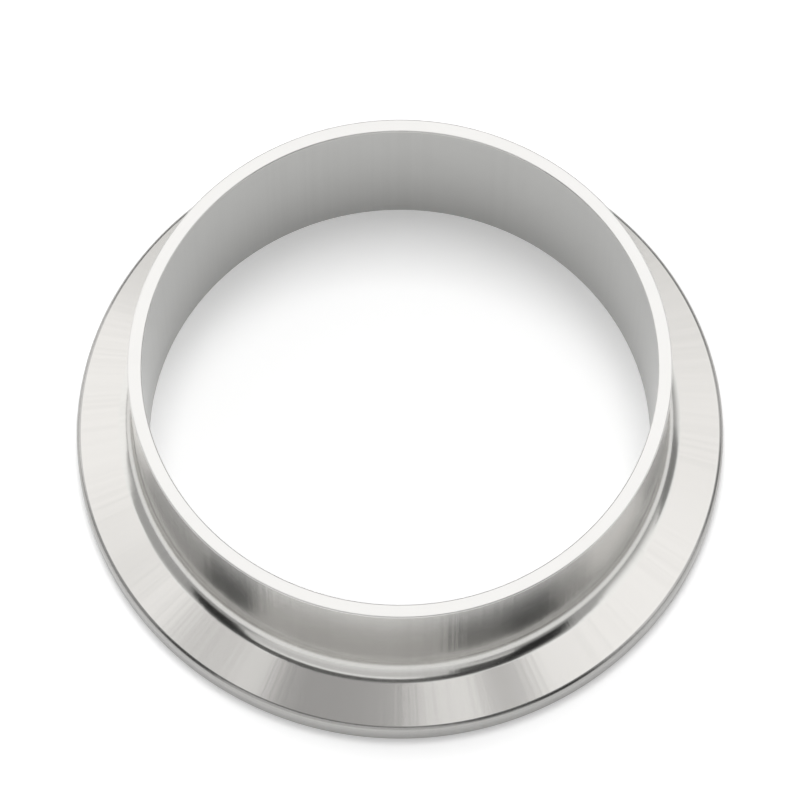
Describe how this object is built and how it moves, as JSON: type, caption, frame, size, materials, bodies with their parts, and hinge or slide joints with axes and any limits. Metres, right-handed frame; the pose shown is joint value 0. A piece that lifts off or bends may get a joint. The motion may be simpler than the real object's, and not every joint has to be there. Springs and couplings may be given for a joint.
{
  "type": "sanitary clamp ferrule",
  "caption": "Short weld-end ferrule turned in stainless steel: a thin tube stub that opens through a filleted root into a bevelled clamp flange with a gasket groove.",
  "frame": {"origin": "centre of the gasket face, on the ferrule's axis", "axes": "+Z along the ferrule's axis, from the gasket face to the weld end; X and Y are free, as the part is a solid of revolution"},
  "size_m": [0.0775, 0.0774, 0.0215],
  "materials": {
    "stainless_steel": "turned and polished, fine circular tool marks; satin bore"
  },
  "bodies": {
    "root": {"clamp_ferrule": "stainless_steel"}
  },
  "joints": []
}
